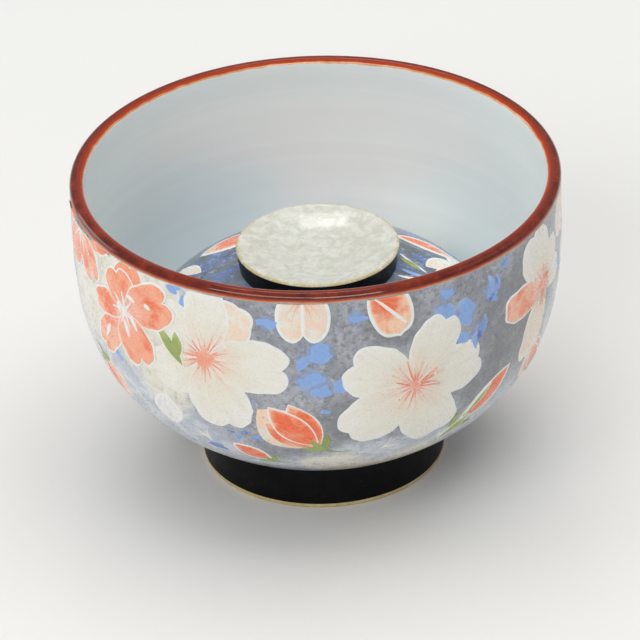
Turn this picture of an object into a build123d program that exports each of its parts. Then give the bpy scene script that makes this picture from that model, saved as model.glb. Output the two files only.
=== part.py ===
from build123d import *

import math
import os

# A lidded porcelain rice bowl: millimetres, +Z up, origin at the centre of the foot's contact plane.
# Each node is one thrown, turned or glazed zone, made as a full turn of its half section about Z.

# Bowl
BOWL_HEIGHT = 59.0
RIM_RADIUS = 45.0
RIM_THICKNESS = 2.6
RIM_BAND_HEIGHT = 1.6
RIM_ROUNDING = 1.05
FOOT_HEIGHT = 8.5
FOOT_RADIUS = 22.6
FOOT_INNER_RADIUS = 19.0
FOOT_INNER_TAPER = 0.5
FOOT_EDGE_HEIGHT = 0.9
FOOT_EDGE_BEVEL = 0.5
FLOOR_THICKNESS = 4.0

# The wall's outer curve is 1 - (1 - t) ** OUTER_POWER, and the hollow is a superellipse.
OUTER_POWER = 4.2
HOLLOW_WALL_POWER = 4.4
HOLLOW_FLOOR_POWER = 2.8
OUTER_STEPS = 14
HOLLOW_ANGLES = (8, 18, 30, 42, 54, 65, 74, 81, 86, 88.6)

# Lid, a shallow dome that drops inside the bowl and stops where the hollow narrows
LID_RADIUS = 33.8
LID_DOME_HEIGHT = 19.43
LID_THICKNESS = 2.3
LID_BAND_HEIGHT = 1.5
LID_LIP_ROUNDING = 0.7
LID_SEAT_GAP = 0.35

# Knob on the lid, shaped like a low foot ring with a shallow dish inside
KNOB_BASE_RADIUS = 14.5
KNOB_TOP_RADIUS = 15.1
KNOB_RING_WIDTH = 1.4
KNOB_HEIGHT = 4.3
KNOB_LIP_ROUNDING = 0.45
KNOB_DISH_DEPTH = 1.5


def outer_radius(z):
    """Outer radius of the bowl's wall at height z."""
    t = (z - FOOT_HEIGHT) / (BOWL_HEIGHT - FOOT_HEIGHT)
    return FOOT_RADIUS + (RIM_RADIUS - FOOT_RADIUS) * (1 - (1 - t) ** OUTER_POWER)


def hollow_radius(z):
    """Inner radius of the bowl's wall at height z."""
    s = (z - HOLLOW_BOTTOM) / (BOWL_HEIGHT - HOLLOW_BOTTOM)
    return HOLLOW_RADIUS * (1 - (1 - s) ** HOLLOW_WALL_POWER) ** (1 / HOLLOW_FLOOR_POWER)


def hollow_height(radius):
    """Height of the hollow's surface at a radius, the inverse of hollow_radius."""
    k = radius / HOLLOW_RADIUS
    s = 1 - (1 - k**HOLLOW_FLOOR_POWER) ** (1 / HOLLOW_WALL_POWER)
    return HOLLOW_BOTTOM + s * (BOWL_HEIGHT - HOLLOW_BOTTOM)


def hollow_point(angle):
    """Point of the hollow's section at a superellipse angle: 0 at the axis, 90 at the rim."""
    radius = HOLLOW_RADIUS * math.sin(math.radians(angle)) ** (2 / HOLLOW_FLOOR_POWER)
    return radius, hollow_height(radius)


HOLLOW_BOTTOM = FOOT_HEIGHT + FLOOR_THICKNESS
HOLLOW_RADIUS = RIM_RADIUS - RIM_THICKNESS
BAND_BASE = BOWL_HEIGHT - RIM_BAND_HEIGHT
LID_BASE = hollow_height(LID_RADIUS + LID_SEAT_GAP)
LID_SHOULDER = LID_BASE + LID_BAND_HEIGHT
LID_INNER_RADIUS = LID_RADIUS - LID_THICKNESS
LID_INNER_HEIGHT = LID_DOME_HEIGHT - LID_THICKNESS
KNOB_BASE = LID_SHOULDER + LID_DOME_HEIGHT * math.sqrt(1 - (KNOB_BASE_RADIUS / LID_RADIUS) ** 2)
KNOB_TOP = KNOB_BASE + KNOB_HEIGHT
KNOB_WELL_RADIUS = KNOB_TOP_RADIUS - KNOB_RING_WIDTH


def turned(edges, rounded_corners=(), rounding=0.0):
    """Solid of revolution about Z from the closed half section (radius, height) of the edges."""
    section = make_face(edges)
    if rounded_corners:
        corners = [section.vertices().sort_by_distance((*corner, 0))[0] for corner in rounded_corners]
        section = fillet(corners, rounding)
    return revolve(Plane.XZ * section, Axis.Z, 360)


def ring(points, rounded_corners=(), rounding=0.0):
    """Ring with a straight-sided half section."""
    return turned([Polyline(*points, close=True)], rounded_corners, rounding)


def bowl_wall():
    """Wall and floor, from the foot's top plane to the rim band."""
    step = (BAND_BASE - FOOT_HEIGHT) / OUTER_STEPS
    heights = [FOOT_HEIGHT + step * i for i in range(OUTER_STEPS + 1)]
    outside = Spline(*[(outer_radius(z), z) for z in heights])
    inner_top = (hollow_radius(BAND_BASE), BAND_BASE)
    inner_points = [(0, HOLLOW_BOTTOM)] + [hollow_point(a) for a in HOLLOW_ANGLES] + [inner_top]
    inside = Spline(*inner_points, tangents=[(1, 0), (0, 1)])
    underside = Line((0, FOOT_HEIGHT), (FOOT_RADIUS, FOOT_HEIGHT))
    axis_line = Line((0, HOLLOW_BOTTOM), (0, FOOT_HEIGHT))
    top = Line((outer_radius(BAND_BASE), BAND_BASE), inner_top)
    return turned([underside, outside, top, inside, axis_line])


def bowl_rim_band():
    """Rounded lip with the brown glaze band."""
    outer_foot = (outer_radius(BAND_BASE), BAND_BASE)
    inner_foot = (hollow_radius(BAND_BASE), BAND_BASE)
    outer_top = (RIM_RADIUS, BOWL_HEIGHT)
    inner_top = (HOLLOW_RADIUS, BOWL_HEIGHT)
    return ring([outer_foot, outer_top, inner_top, inner_foot], [outer_top, inner_top], RIM_ROUNDING)


def bowl_foot_ring():
    """Straight turned foot ring with the black glaze."""
    return ring([
        (FOOT_RADIUS, FOOT_EDGE_HEIGHT),
        (FOOT_RADIUS, FOOT_HEIGHT),
        (FOOT_INNER_RADIUS, FOOT_HEIGHT),
        (FOOT_INNER_RADIUS + FOOT_INNER_TAPER, FOOT_EDGE_HEIGHT),
    ])


def bowl_foot_edge():
    """Bare clay edge that the bowl stands on."""
    inner = FOOT_INNER_RADIUS + FOOT_INNER_TAPER
    return ring([
        (FOOT_RADIUS, FOOT_EDGE_HEIGHT),
        (inner, FOOT_EDGE_HEIGHT),
        (inner + FOOT_EDGE_BEVEL, 0),
        (FOOT_RADIUS - FOOT_EDGE_BEVEL, 0),
    ])


def lid_dome():
    """Elliptical dome, cut flat where the knob stands."""
    centre = (0, LID_SHOULDER)
    knob_angle = math.degrees(math.acos(KNOB_BASE_RADIUS / LID_RADIUS))
    outside = EllipticalCenterArc(centre, LID_RADIUS, LID_DOME_HEIGHT, arc_size=knob_angle)
    inside = EllipticalCenterArc(centre, LID_INNER_RADIUS, LID_INNER_HEIGHT, arc_size=90)
    flat = Line((KNOB_BASE_RADIUS, KNOB_BASE), (0, KNOB_BASE))
    axis_line = Line((0, KNOB_BASE), (0, LID_SHOULDER + LID_INNER_HEIGHT))
    shoulder = Line((LID_INNER_RADIUS, LID_SHOULDER), (LID_RADIUS, LID_SHOULDER))
    return turned([outside, flat, axis_line, inside, shoulder])


def lid_rim_band():
    """Rounded lower edge of the lid with its brown glaze band."""
    outer_foot = (LID_RADIUS, LID_BASE)
    inner_foot = (LID_INNER_RADIUS, LID_BASE)
    points = [outer_foot, (LID_RADIUS, LID_SHOULDER), (LID_INNER_RADIUS, LID_SHOULDER), inner_foot]
    return ring(points, [outer_foot, inner_foot], LID_LIP_ROUNDING)


def lid_knob_ring():
    """Black-glazed ring that the fingers hold."""
    outer_top = (KNOB_TOP_RADIUS, KNOB_TOP)
    return ring([
        (KNOB_BASE_RADIUS, KNOB_BASE),
        outer_top,
        (KNOB_WELL_RADIUS, KNOB_TOP),
        (KNOB_WELL_RADIUS, KNOB_BASE),
    ], [outer_top], KNOB_LIP_ROUNDING)


def lid_knob_well():
    """Pearl-glazed shallow dish inside the knob ring."""
    rim_height = KNOB_TOP - KNOB_LIP_ROUNDING
    centre_height = KNOB_TOP - KNOB_DISH_DEPTH
    dish = TangentArc((0, centre_height), (KNOB_WELL_RADIUS, rim_height), tangent=(1, 0))
    side = Line((KNOB_WELL_RADIUS, rim_height), (KNOB_WELL_RADIUS, KNOB_BASE))
    base = Line((KNOB_WELL_RADIUS, KNOB_BASE), (0, KNOB_BASE))
    axis_line = Line((0, KNOB_BASE), (0, centre_height))
    return turned([dish, side, base, axis_line])


NODES = (
    bowl_wall,
    bowl_rim_band,
    bowl_foot_ring,
    bowl_foot_edge,
    lid_dome,
    lid_rim_band,
    lid_knob_ring,
    lid_knob_well,
)

os.makedirs("parts", exist_ok=True)
for make_node in NODES:
    solid = make_node()
    solid.label = make_node.__name__
    export_step(solid, f"parts/{make_node.__name__}.step")

print(f"lid base z {LID_BASE:.2f}, knob base z {KNOB_BASE:.2f}, knob top z {KNOB_TOP:.2f}")
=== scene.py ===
"""Lidded porcelain rice bowl painted with enamel cherry blossom.

Design numbers are millimetres and degrees. Meshes are made in metres, in the frame of the CAD model.
Angles round the bowl start at the front (-Y) and grow towards +X.
"""

import random
from math import acos, atan2, cos, degrees, hypot, pi, radians, sin

import bpy
import numpy as np
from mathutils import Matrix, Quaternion, Vector


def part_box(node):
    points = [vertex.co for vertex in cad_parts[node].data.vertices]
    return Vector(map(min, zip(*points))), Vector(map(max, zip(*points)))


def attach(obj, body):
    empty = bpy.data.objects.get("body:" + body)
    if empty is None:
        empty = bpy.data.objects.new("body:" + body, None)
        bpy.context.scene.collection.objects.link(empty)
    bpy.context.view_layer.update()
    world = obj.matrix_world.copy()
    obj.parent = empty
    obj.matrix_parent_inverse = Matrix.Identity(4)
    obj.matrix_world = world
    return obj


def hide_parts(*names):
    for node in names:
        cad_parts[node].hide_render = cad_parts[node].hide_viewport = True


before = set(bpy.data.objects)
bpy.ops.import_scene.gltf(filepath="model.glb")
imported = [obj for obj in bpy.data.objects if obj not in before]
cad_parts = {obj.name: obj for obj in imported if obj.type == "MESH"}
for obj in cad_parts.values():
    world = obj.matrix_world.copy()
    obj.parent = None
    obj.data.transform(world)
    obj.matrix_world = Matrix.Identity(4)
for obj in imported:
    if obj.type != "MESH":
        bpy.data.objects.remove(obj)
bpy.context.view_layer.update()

MM = 0.001
SEGMENTS = 288
CORNER_STEPS = 8
SHARP_ANGLE = 50
# Radii under this many millimetres count as on the axis
ON_AXIS = 1e-6

# ---- sizes, from the CAD nodes


def low(node, axis):
    """Lowest coordinate of a CAD node, in millimetres."""
    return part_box(node)[0][axis] / MM


def high(node, axis):
    """Highest coordinate of a CAD node, in millimetres."""
    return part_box(node)[1][axis] / MM


BOWL_TOP = high("bowl_rim_band", 2)
BAND_BASE = low("bowl_rim_band", 2)
RIM_RADIUS = high("bowl_rim_band", 0)
FOOT_TOP = high("bowl_foot_ring", 2)
FOOT_RADIUS = high("bowl_foot_ring", 0)
EDGE_TOP = high("bowl_foot_edge", 2)
LID_BASE = low("lid_rim_band", 2)
LID_SHOULDER = low("lid_dome", 2)
LID_RADIUS = high("lid_dome", 0)
KNOB_BASE = low("lid_knob_ring", 2)
KNOB_TOP = high("lid_knob_ring", 2)
WELL_RADIUS = high("lid_knob_well", 0)

# Shape numbers that a box can't tell
OUTER_POWER = 4.2
HOLLOW_WALL_POWER = 4.4
HOLLOW_FLOOR_POWER = 2.8
RIM_THICKNESS = 2.6
RIM_ROUNDING = 1.05
FLOOR_THICKNESS = 4.0
FOOT_INNER_RADIUS = 19.0
FOOT_INNER_TAPER = 0.5
FOOT_BEVEL = 0.5
LID_DOME_HEIGHT = 19.43
LID_THICKNESS = 2.3
LID_LIP_ROUNDING = 0.7
KNOB_BASE_RADIUS = 14.5
KNOB_TOP_RADIUS = 15.1
KNOB_LIP_ROUNDING = 0.45
KNOB_DISH_DEPTH = 1.5
DISH_EDGE_DROP = 0.17
# The knob ring's side stops short of its lip, and the lip's flat top reaches in and sinks a little
KNOB_SIDE_INSET = 0.04
KNOB_LIP_FLAT = 0.45
KNOB_LIP_DROP = 0.06

HOLLOW_BOTTOM = FOOT_TOP + FLOOR_THICKNESS
HOLLOW_RADIUS = RIM_RADIUS - RIM_THICKNESS
LID_INNER_RADIUS = LID_RADIUS - LID_THICKNESS
LID_INNER_HEIGHT = LID_DOME_HEIGHT - LID_THICKNESS


# ---- turned sections


def outer_radius(z):
    """Outer radius of the bowl's wall at height z."""
    t = (z - FOOT_TOP) / (BOWL_TOP - FOOT_TOP)
    return FOOT_RADIUS + (RIM_RADIUS - FOOT_RADIUS) * (1 - (1 - t) ** OUTER_POWER)


def hollow_height(radius):
    """Height of the hollow's surface at a radius."""
    k = radius / HOLLOW_RADIUS
    s = 1 - (1 - k**HOLLOW_FLOOR_POWER) ** (1 / HOLLOW_WALL_POWER)
    return HOLLOW_BOTTOM + s * (BOWL_TOP - HOLLOW_BOTTOM)


def hollow_radius(z):
    """Inner radius of the bowl's wall at height z."""
    s = (z - HOLLOW_BOTTOM) / (BOWL_TOP - HOLLOW_BOTTOM)
    return HOLLOW_RADIUS * (1 - (1 - s) ** HOLLOW_WALL_POWER) ** (1 / HOLLOW_FLOOR_POWER)


def line(start, end, steps):
    """Points from start towards end, without the end itself."""
    return [tuple(np.add(start, np.subtract(end, start) * i / steps)) for i in range(steps)]


def corner(centre, radius, start, end):
    """Points of an arc about a centre, between two angles in degrees."""
    angles = [radians(start + (end - start) * i / CORNER_STEPS) for i in range(CORNER_STEPS + 1)]
    return [(centre[0] + radius * cos(a), centre[1] + radius * sin(a)) for a in angles]


def dome(radius, height, start, end, steps):
    """Points of the lid's ellipse between two angles in degrees: 0 at the shoulder, 90 at the crown."""
    angles = [radians(start + (end - start) * i / steps) for i in range(steps + 1)]
    return [(radius * cos(a), LID_SHOULDER + height * sin(a)) for a in angles]


def bowl_sections():
    """The bowl wall's closed section, as zones of points: underside, outside and inside."""
    underside = line((0, FOOT_TOP), (FOOT_RADIUS, FOOT_TOP), 16)
    outside = [(outer_radius(z), z) for z in np.linspace(FOOT_TOP, BAND_BASE, 90)]
    upper = [(hollow_radius(z), z) for z in np.linspace(BAND_BASE, HOLLOW_BOTTOM + 8, 60)]
    reach = upper[-1][0]
    lower = [(r, hollow_height(r)) for r in np.linspace(reach, 0, 40)[1:-1]]
    return [("white", underside), ("ground", outside), ("white", upper + lower + [(0, HOLLOW_BOTTOM)])]


def lip_sections():
    """The rounded lip's closed section: brown over its top, white below that on the inside."""
    centre_z = BOWL_TOP - RIM_ROUNDING
    outside = [(outer_radius(BAND_BASE), BAND_BASE)]
    outside += corner((RIM_RADIUS - RIM_ROUNDING, centre_z), RIM_ROUNDING, 0, 90)
    inside = corner((HOLLOW_RADIUS + RIM_ROUNDING, centre_z), RIM_ROUNDING, 90, 180)
    return [("brown", outside + inside[:-1]), ("white", [inside[-1], (hollow_radius(BAND_BASE), BAND_BASE)])]


def foot_section():
    """Closed section of the foot ring above its bare edge."""
    inner_low = FOOT_INNER_RADIUS + FOOT_INNER_TAPER
    return (
        line((FOOT_RADIUS, EDGE_TOP), (FOOT_RADIUS, FOOT_TOP), 12)
        + line((FOOT_RADIUS, FOOT_TOP), (FOOT_INNER_RADIUS, FOOT_TOP), 6)
        + line((FOOT_INNER_RADIUS, FOOT_TOP), (inner_low, EDGE_TOP), 12)
        + line((inner_low, EDGE_TOP), (FOOT_RADIUS, EDGE_TOP), 6)
    )


def edge_section():
    """Closed section of the bare clay edge, rounded where it was rubbed."""
    inner = FOOT_INNER_RADIUS + FOOT_INNER_TAPER
    return (
        corner((FOOT_RADIUS - FOOT_BEVEL, FOOT_BEVEL), FOOT_BEVEL, 0, -90)[::-1]
        + [(FOOT_RADIUS, EDGE_TOP), (inner, EDGE_TOP)]
        + corner((inner + FOOT_BEVEL, FOOT_BEVEL), FOOT_BEVEL, 180, 270)
    )


def lid_sections():
    """The lid dome's closed section: the flat under the knob, the outside and the inside."""
    knob_angle = degrees(acos(KNOB_BASE_RADIUS / LID_RADIUS))
    flat = line((0, KNOB_BASE), (KNOB_BASE_RADIUS, KNOB_BASE), 10)
    outside = dome(LID_RADIUS, LID_DOME_HEIGHT, knob_angle, 0, 60)
    inside = dome(LID_INNER_RADIUS, LID_INNER_HEIGHT, 0, 90, 70)
    return [("ground", flat), ("ground", outside), ("white", inside)]


def lid_lip_section():
    """Closed section of the lid's rounded lower edge."""
    low_z = LID_BASE + LID_LIP_ROUNDING
    return (
        corner((LID_RADIUS - LID_LIP_ROUNDING, low_z), LID_LIP_ROUNDING, -90, 0)
        + [(LID_RADIUS, LID_SHOULDER), (LID_INNER_RADIUS, LID_SHOULDER)]
        + corner((LID_INNER_RADIUS + LID_LIP_ROUNDING, low_z), LID_LIP_ROUNDING, 180, 270)
    )


def knob_sections():
    """The knob ring's section: its black side, and its pearly lip and inner side."""
    lip = (KNOB_TOP_RADIUS - KNOB_LIP_ROUNDING, KNOB_TOP - KNOB_LIP_ROUNDING)
    side = line((KNOB_BASE_RADIUS, KNOB_BASE), (KNOB_TOP_RADIUS - KNOB_SIDE_INSET, lip[1]), 14)
    top = corner(lip, KNOB_LIP_ROUNDING, 0, 90)
    inner = [(WELL_RADIUS + KNOB_LIP_FLAT, KNOB_TOP - KNOB_LIP_DROP)]
    inner += [(WELL_RADIUS, KNOB_TOP - DISH_EDGE_DROP), (WELL_RADIUS, KNOB_BASE)]
    return [("black", side), ("pearl", top + inner)]


def dish_section():
    """Section of the shallow dish inside the knob ring."""
    edge = KNOB_TOP - DISH_EDGE_DROP
    centre = KNOB_TOP - KNOB_DISH_DEPTH
    rise = edge - centre
    curve = [(r, centre + rise * (r / WELL_RADIUS) ** 2) for r in np.linspace(WELL_RADIUS, 0, 40)]
    return line((0, KNOB_BASE), (WELL_RADIUS, KNOB_BASE), 8) + [(WELL_RADIUS, KNOB_BASE)] + curve


# ---- meshes


def placed(name, data):
    """A new object in the scene."""
    made = bpy.data.objects.new(name, data)
    bpy.context.scene.collection.objects.link(made)
    return made


def new_piece(name, verts, faces, materials, face_materials=None, paint=None):
    """A smooth-shaded mesh object from points in millimetres."""
    mesh = bpy.data.meshes.new(name)
    mesh.from_pydata((np.asarray(verts) * MM).tolist(), [], faces)
    for mat in materials:
        mesh.materials.append(mat)
    if face_materials is not None:
        mesh.polygons.foreach_set("material_index", face_materials)
    if paint is not None:
        layer = mesh.attributes.new("paint", "FLOAT_COLOR", "POINT")
        layer.data.foreach_set("color", np.asarray(paint, dtype=np.float32).ravel())
    mesh.polygons.foreach_set("use_smooth", [True] * len(mesh.polygons))
    mesh.set_sharp_from_angle(angle=radians(SHARP_ANGLE))
    mesh.update()
    return placed(name, mesh)


def turned_piece(name, zones, materials):
    """A full turn of a closed section about Z. A section that starts and ends on the axis gets poles."""
    points = [tuple(p) for tag, zone in zones for p in zone]
    tags = [tag for tag, zone in zones for _ in zone]
    solid = points[0][0] < ON_AXIS
    radii, heights = np.array(points).T
    inward = float(np.sum(radii * np.roll(heights, -1) - np.roll(radii, -1) * heights)) < 0
    angles = np.linspace(0, 2 * pi, SEGMENTS, endpoint=False)
    verts = []
    rows = []
    for r, z in points:
        start = len(verts)
        if r < ON_AXIS:
            verts.append((0.0, 0.0, z))
            rows.append([start] * SEGMENTS)
        else:
            verts += [(r * sin(a), -r * cos(a), z) for a in angles]
            rows.append(list(range(start, start + SEGMENTS)))
    slots = list(materials)
    faces = []
    picks = []
    for i in range(len(points) - 1 if solid else len(points)):
        here, there = rows[i], rows[(i + 1) % len(rows)]
        for j in range(SEGMENTS):
            k = (j + 1) % SEGMENTS
            corners = [here[j], here[k], there[k], there[j]]
            if inward:
                corners.reverse()
            faces.append(list(dict.fromkeys(corners)))
            picks.append(slots.index(tags[i]))
    return new_piece(name, verts, faces, list(materials.values()), picks)


class Turned:
    """An outer surface of revolution, walked by arc length from the start of its section."""

    def __init__(self, section):
        self.r, self.z = np.array(section, dtype=float).T
        self.s = np.concatenate(([0.0], np.cumsum(np.hypot(np.diff(self.r), np.diff(self.z)))))
        self.length = self.s[-1]
        self.dr = np.gradient(self.r, self.s)
        self.dz = np.gradient(self.z, self.s)

    def points(self, angle, s, lift, side):
        """Points at an angle and arc length, lifted off the surface to its outer side."""
        r = np.interp(s, self.s, self.r) + side * lift * np.interp(s, self.s, self.dz)
        z = np.interp(s, self.s, self.z) - side * lift * np.interp(s, self.s, self.dr)
        return np.column_stack((r * np.sin(angle), -r * np.cos(angle), z))


class WallSurface(Turned):
    """The bowl's outside. Its flat coordinates are the angle and the height along the wall."""

    # Bare millimetres that the painting leaves above the foot and below the lip
    FOOT_GAP = 0.4
    LIP_GAP = 0.15

    def flat(self, spot, xy):
        inside = np.clip(spot.along + xy[:, 1], self.FOOT_GAP, self.length - self.LIP_GAP)
        angle = radians(spot.around) + xy[:, 0] / np.interp(inside, self.s, self.r)
        return np.column_stack((angle, inside))

    def lifted(self, flat, lift):
        return self.points(flat[:, 0], flat[:, 1], lift, 1)


class DomeSurface(Turned):
    """The lid's outside. Its flat coordinates are a map of the dome, centred on the crown."""

    # Bare millimetres that the painting leaves at the knob and at the shoulder
    GAP = 0.1

    def __init__(self, section, crown_distance):
        super().__init__(section)
        self.crown_distance = crown_distance

    def flat(self, spot, xy):
        angle = radians(spot.around)
        x = xy[:, 0]
        y = xy[:, 1] - spot.along
        turned_x = x * cos(angle) - y * sin(angle)
        turned_y = x * sin(angle) + y * cos(angle)
        distance = np.hypot(turned_x, turned_y)
        outermost = self.crown_distance + self.length - self.GAP
        limited = np.clip(distance, self.crown_distance + self.GAP, outermost)
        scale = limited / np.maximum(distance, 1e-6)
        return np.column_stack((turned_x * scale, turned_y * scale))

    def lifted(self, flat, lift):
        distance = np.hypot(flat[:, 0], flat[:, 1])
        angle = np.arctan2(flat[:, 0], -flat[:, 1])
        return self.points(angle, distance - self.crown_distance, lift, -1)


class Spot:
    """A place on a surface: degrees round it, millimetres along it, and a turn of the drawing."""

    def __init__(self, surface, around, along, turn=0.0):
        self.surface = surface
        self.around = around
        self.along = along
        self.turn = radians(turn)

    def flat(self, xy):
        """A drawing's points, turned, in the surface's flat coordinates."""
        x = xy[:, 0] * cos(self.turn) - xy[:, 1] * sin(self.turn)
        y = xy[:, 0] * sin(self.turn) + xy[:, 1] * cos(self.turn)
        return self.surface.flat(self, np.column_stack((x, y)))


class Enamel:
    """Closed raised shapes of one enamel colour, gathered into one piece.

    Every point's paint holds its distance from the heart, its nearness to the shape's edge, a tone, and
    its angle about the heart from the shape's own axis.
    """

    # Rings of a filled shape, as shares of its outline and of its rise, and the share at its middle
    RINGS = ((1.0, 0.0), (0.985, 0.5), (0.95, 0.85), (0.88, 1.0), (0.66, 1.0), (0.44, 0.95), (0.22, 0.9))
    CROWN = 0.9
    SUNK = -0.03

    def __init__(self):
        self.verts = []
        self.faces = []
        self.paint = []
        self.count = 0

    def add(self, points, faces, paint):
        """Takes one closed shape in."""
        base = self.count
        self.verts.append(points)
        self.faces += [[base + i for i in face] for face in faces]
        self.paint.append(paint)
        self.count += len(points)

    @staticmethod
    def brushed(xy, axis, edge, reach, tone):
        """Paint of points given from the heart, for a shape that lies along an axis."""
        angle = np.arctan2(xy[:, 1], xy[:, 0]) - atan2(axis[1], axis[0])
        angle = (angle + pi) % (2 * pi) - pi
        distance = np.hypot(xy[:, 0], xy[:, 1]) / reach
        return np.column_stack((distance, np.full(len(xy), edge), np.full(len(xy), tone), angle))

    def patch(self, spot, outline, layer, height, reach, tone=0.5):
        """A raised filled shape. The heart is the drawing's origin."""
        outline = np.asarray(outline, dtype=float)
        rim = spot.flat(outline)
        middle = rim.mean(axis=0)
        axis = outline.mean(axis=0)
        count = len(outline)
        levels = []
        paint = []
        for fraction, rise in self.RINGS:
            flat = middle + (rim - middle) * fraction
            lift = self.SUNK if fraction == 1.0 else layer + height * rise
            levels.append(spot.surface.lifted(flat, np.full(count, lift)))
            paint.append(self.brushed(axis + (outline - axis) * fraction, axis, fraction, reach, tone))
        for lift in (layer + height * self.CROWN, self.SUNK * 2):
            levels.append(spot.surface.lifted(middle[None], np.array([lift])))
        paint.append(self.brushed(np.array([axis, axis]), axis, 0, reach, tone))
        faces = []
        last = len(self.RINGS) - 1
        for j in range(count):
            k = (j + 1) % count
            for level in range(last):
                a = level * count
                b = a + count
                faces.append([a + j, a + k, b + k, b + j])
            faces.append([last * count + j, last * count + k, (last + 1) * count])
            faces.append([k, j, (last + 1) * count + 1])
        self.add(np.vstack(levels), faces, np.vstack(paint))

    def stroke(self, spot, path, widths, layer, height, tone=0.5):
        """A raised brush line along a path, with a crest along its middle."""
        path = np.asarray(path, dtype=float)
        widths = np.asarray(widths, dtype=float)
        along = np.gradient(path, axis=0)
        along /= np.maximum(np.linalg.norm(along, axis=1), 1e-9)[:, None]
        across = np.column_stack((-along[:, 1], along[:, 0])) * widths[:, None] / 2
        count = len(path)
        lines = ((1.0, self.SUNK), (0.9, layer), (0.0, layer + height), (-0.9, layer), (-1.0, self.SUNK))
        rows = []
        for side, lift in lines:
            rows.append(spot.surface.lifted(spot.flat(path + across * side), np.full(count, lift)))
        share = np.linspace(0, 1, count)
        paint = np.column_stack((share, np.zeros(count), np.full(count, tone), np.zeros(count)))
        sides = len(lines)
        faces = []
        for i in range(count - 1):
            for a in range(sides):
                b = (a + 1) % sides
                faces.append([a * count + i, b * count + i, b * count + i + 1, a * count + i + 1])
        faces.append([a * count for a in reversed(range(sides))])
        faces.append([a * count + count - 1 for a in range(sides)])
        self.add(np.vstack(rows), faces, np.vstack([paint] * sides))

    def piece(self, name, material, body, slot):
        """Makes the gathered shapes one piece that rides on a body."""
        made = new_piece(name, np.vstack(self.verts), self.faces, [material], None, np.vstack(self.paint))
        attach(made, body)


# ---- materials


def colour(code):
    """Linear colour of a six-digit sRGB code."""
    parts = [int(code[i:i + 2], 16) / 255 for i in (0, 2, 4)]
    return tuple(c / 12.92 if c <= 0.04045 else ((c + 0.055) / 1.055) ** 2.4 for c in parts) + (1.0,)


class Glaze:
    """Builds one node material, in millimetres. Its colours are laid over one another, the base first."""

    def __init__(self, name, base, roughness, coat=0.0, coat_roughness=0.05, specular=0.5):
        self.material = bpy.data.materials.new(name)
        self.material.use_nodes = True
        self.nodes = self.material.node_tree.nodes
        self.links = self.material.node_tree.links
        self.shader = self.nodes["Principled BSDF"]
        self.shader.inputs["Roughness"].default_value = roughness
        self.shader.inputs["Coat Weight"].default_value = coat
        self.shader.inputs["Coat Roughness"].default_value = coat_roughness
        self.shader.inputs["Specular IOR Level"].default_value = specular
        self.base = colour(base)
        metres = self.node("TexCoord", {}).outputs["Object"]
        self.mm = self.node("Mapping", {"Vector": metres, "Scale": (1000, 1000, 1000)}).outputs["Vector"]

    def put(self, socket, value):
        """Sets a socket to a number or a colour, or links it to another socket."""
        if isinstance(value, bpy.types.NodeSocket):
            self.links.new(value, socket)
        else:
            socket.default_value = value

    def node(self, kind, values, **settings):
        """A shader node with its settings, and with values for its sockets by name or number."""
        node = self.nodes.new("ShaderNode" + kind)
        for setting, choice in settings.items():
            setattr(node, setting, choice)
        for key, value in values.items():
            self.put(node.inputs[key], value)
        return node

    def noise(self, scale, detail=3.0, roughness=0.5, distortion=0.0, vector=None):
        """Noise of a scale in cycles per millimetre."""
        values = {"Vector": vector or self.mm, "Scale": scale, "Detail": detail}
        values |= {"Roughness": roughness, "Distortion": distortion}
        return self.node("TexNoise", values).outputs["Fac"]

    def math(self, operation, *values):
        return self.node("Math", dict(enumerate(values)), operation=operation).outputs[0]

    def times(self, a, b):
        return self.math("MULTIPLY", a, b)

    def span(self, value, start, end, low=0.0, high=1.0):
        """Smoothly maps a value from one range to another."""
        values = {"Value": value, "From Min": start, "From Max": end, "To Min": low, "To Max": high}
        return self.node("MapRange", values, interpolation_type="SMOOTHSTEP").outputs["Result"]

    def mix(self, amount, first, second):
        return self.node("Mix", {"Factor": amount, 6: first, 7: second}, data_type="RGBA").outputs[2]

    def lay(self, amount, tint):
        """Lays a colour, given by its code or a socket, over the base by an amount."""
        self.base = self.mix(amount, self.base, colour(tint) if isinstance(tint, str) else tint)

    def combine(self, x, y, z):
        """A vector of three values."""
        return self.node("CombineXYZ", {"X": x, "Y": y, "Z": z}).outputs["Vector"]

    def place(self):
        """The radius from the axis and the height, in millimetres."""
        x, y, z = self.node("SeparateXYZ", {0: self.mm}).outputs
        return self.math("SQRT", self.math("MULTIPLY_ADD", x, x, self.times(y, y))), z

    def near(self, around, height, reach, unevenness):
        """One near a place on the bowl's wall, falling to nought at a reach in millimetres."""
        angle = radians(around)
        radius = outer_radius(height)
        centre = (radius * sin(angle), -radius * cos(angle), height)
        distance = self.node("VectorMath", {0: self.mm, 1: centre}, operation="DISTANCE").outputs["Value"]
        return self.span(self.math("MULTIPLY_ADD", unevenness, reach, distance), reach * 1.5, reach * 0.8)

    def paint(self):
        """The painted attribute's channels: distance from the heart, edge, tone and angle."""
        painted = self.node("Attribute", {}, attribute_name="paint").outputs
        heart, edge, tone = self.node("SeparateColor", {0: painted["Color"]}).outputs
        return heart, edge, tone, painted["Alpha"]

    def finish(self, roughness=None, bumps=()):
        """Links the colour, an optional roughness and bumps given as (height, depth in millimetres)."""
        self.put(self.shader.inputs["Base Color"], self.base)
        if roughness is not None:
            self.put(self.shader.inputs["Roughness"], roughness)
        values = {}
        for height, depth in bumps:
            bump = self.node("Bump", values | {"Height": height, "Distance": depth * MM})
            values = {"Normal": bump.outputs["Normal"]}
        if bumps:
            self.put(self.shader.inputs["Normal"], values["Normal"])
        return self.material


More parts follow.
